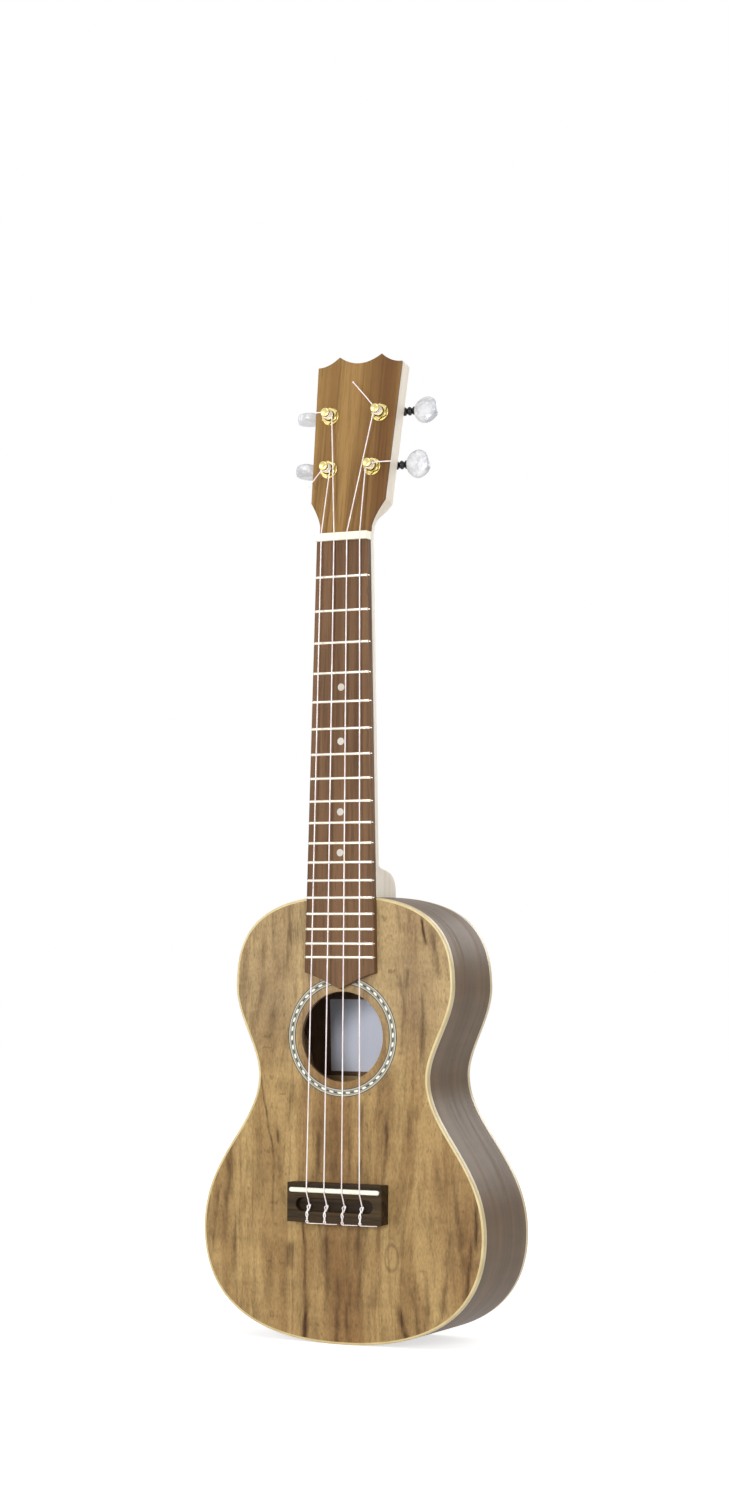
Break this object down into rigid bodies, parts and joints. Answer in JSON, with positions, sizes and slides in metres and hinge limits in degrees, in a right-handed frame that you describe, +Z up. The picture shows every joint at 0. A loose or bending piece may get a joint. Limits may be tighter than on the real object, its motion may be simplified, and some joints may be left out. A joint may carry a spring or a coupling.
{
  "type": "cavaquinho",
  "caption": "Small four-string guitar with a waisted hollow body, round soundhole with an inlaid ring, tie bridge, fretted neck and geared tuning machines.",
  "frame": {"origin": "the hanger point: on the centre line, at mid-thickness of the neck just under the head, 9 mm above the front edge of the nut", "axes": "+Z up the neck to the head, -Y out of the soundboard towards the player, +X to the right seen from the front (the treble side)"},
  "size_m": [0.1608, 0.0717, 0.5168],
  "materials": {
    "top_walnut": "satin lacquer over streaked tan walnut",
    "side_walnut": "satin lacquer over grey-brown walnut",
    "inner_wood": "bare pale wood",
    "pale_wood": "satin lacquer over pale wood",
    "head_walnut": "satin lacquer over walnut veneer",
    "board_walnut": "oiled walnut",
    "dark_rosewood": "oiled rosewood",
    "cream_binding": "polished cream plastic",
    "rosette_inlay": "slanted dark and cream dashes between fine lines",
    "ivory": "polished ivory-coloured plastic",
    "fret_metal": "polished nickel silver",
    "gold_metal": "gold plate",
    "black_metal": "black plate",
    "pearl": "pearl-like plastic",
    "clear_string": "clear nylon"
  },
  "bodies": {
    "instrument": {"soundboard": "top_walnut", "back": "side_walnut", "side_bass": "side_walnut", "side_treble": "side_walnut", "neck_block": "inner_wood", "tail_block": "inner_wood", "lining_top": "inner_wood", "lining_back": "inner_wood", "top_brace_upper": "inner_wood", "top_brace_lower": "inner_wood", "back_brace": "inner_wood", "binding_top": "cream_binding", "binding_back": "cream_binding", "rosette": "rosette_inlay", "neck": "pale_wood", "head_veneer": "head_walnut", "fretboard": "board_walnut", "nut": "ivory", "saddle": "ivory", "bridge": "dark_rosewood", "fret_01": "fret_metal", "fret_02": "fret_metal", "fret_03": "fret_metal", "fret_04": "fret_metal", "fret_05": "fret_metal", "fret_06": "fret_metal", "fret_07": "fret_metal", "fret_08": "fret_metal", "fret_09": "fret_metal", "fret_10": "fret_metal", "fret_11": "fret_metal", "fret_12": "fret_metal", "fret_13": "fret_metal", "fret_14": "fret_metal", "fret_15": "fret_metal", "fret_16": "fret_metal", "fret_17": "fret_metal", "fret_18": "fret_metal", "string_1": "clear_string", "string_2": "clear_string", "string_3": "clear_string", "string_4": "clear_string", "bushing_bass_upper": "gold_metal", "bushing_bass_lower": "gold_metal", "bushing_treble_upper": "gold_metal", "bushing_treble_lower": "gold_metal", "tuner_plate_bass": "gold_metal", "tuner_plate_treble": "gold_metal"},
    "tuner_key_bass_upper": {"worm_bass_upper": "black_metal", "button_bass_upper": "pearl"},
    "string_post_bass_upper": {"post_bass_upper": "gold_metal"},
    "tuner_key_bass_lower": {"worm_bass_lower": "black_metal", "button_bass_lower": "pearl"},
    "string_post_bass_lower": {"post_bass_lower": "gold_metal"},
    "tuner_key_treble_upper": {"worm_treble_upper": "black_metal", "button_treble_upper": "pearl"},
    "string_post_treble_upper": {"post_treble_upper": "gold_metal"},
    "tuner_key_treble_lower": {"worm_treble_lower": "black_metal", "button_treble_lower": "pearl"},
    "string_post_treble_lower": {"post_treble_lower": "gold_metal"}
  },
  "joints": [
    {"name": "key_turn_bass_upper", "type": "hinge", "parent": "instrument", "child": "tuner_key_bass_upper", "pos_m": [-0.0145, 0.01984, 0.06218], "axis": [1, 0, 0], "continuous": true},
    {"name": "post_turn_bass_upper", "type": "hinge", "parent": "instrument", "child": "string_post_bass_upper", "pos_m": [-0.0145, 0.00514, 0.05956], "axis": [0, -0.984, 0.1779], "continuous": true},
    {"name": "key_turn_bass_lower", "type": "hinge", "parent": "instrument", "child": "tuner_key_bass_lower", "pos_m": [-0.0126, 0.01454, 0.03286], "axis": [1, 0, 0], "continuous": true},
    {"name": "post_turn_bass_lower", "type": "hinge", "parent": "instrument", "child": "string_post_bass_lower", "pos_m": [-0.0126, -0.00016, 0.03023], "axis": [0, -0.984, 0.1779], "continuous": true},
    {"name": "key_turn_treble_upper", "type": "hinge", "parent": "instrument", "child": "tuner_key_treble_upper", "pos_m": [0.0145, 0.01984, 0.06218], "axis": [1, 0, 0], "continuous": true},
    {"name": "post_turn_treble_upper", "type": "hinge", "parent": "instrument", "child": "string_post_treble_upper", "pos_m": [0.0145, 0.00514, 0.05956], "axis": [0, -0.984, 0.1779], "continuous": true},
    {"name": "key_turn_treble_lower", "type": "hinge", "parent": "instrument", "child": "tuner_key_treble_lower", "pos_m": [0.0126, 0.01454, 0.03286], "axis": [1, 0, 0], "continuous": true},
    {"name": "post_turn_treble_lower", "type": "hinge", "parent": "instrument", "child": "string_post_treble_lower", "pos_m": [0.0126, -0.00016, 0.03023], "axis": [0, -0.984, 0.1779], "continuous": true}
  ],
  "couplings": [
    {"joint": "post_turn_bass_upper", "follows": "key_turn_bass_upper", "ratio": 0.083333},
    {"joint": "post_turn_bass_lower", "follows": "key_turn_bass_lower", "ratio": 0.083333},
    {"joint": "post_turn_treble_upper", "follows": "key_turn_treble_upper", "ratio": 0.083333},
    {"joint": "post_turn_treble_lower", "follows": "key_turn_treble_lower", "ratio": 0.083333}
  ]
}
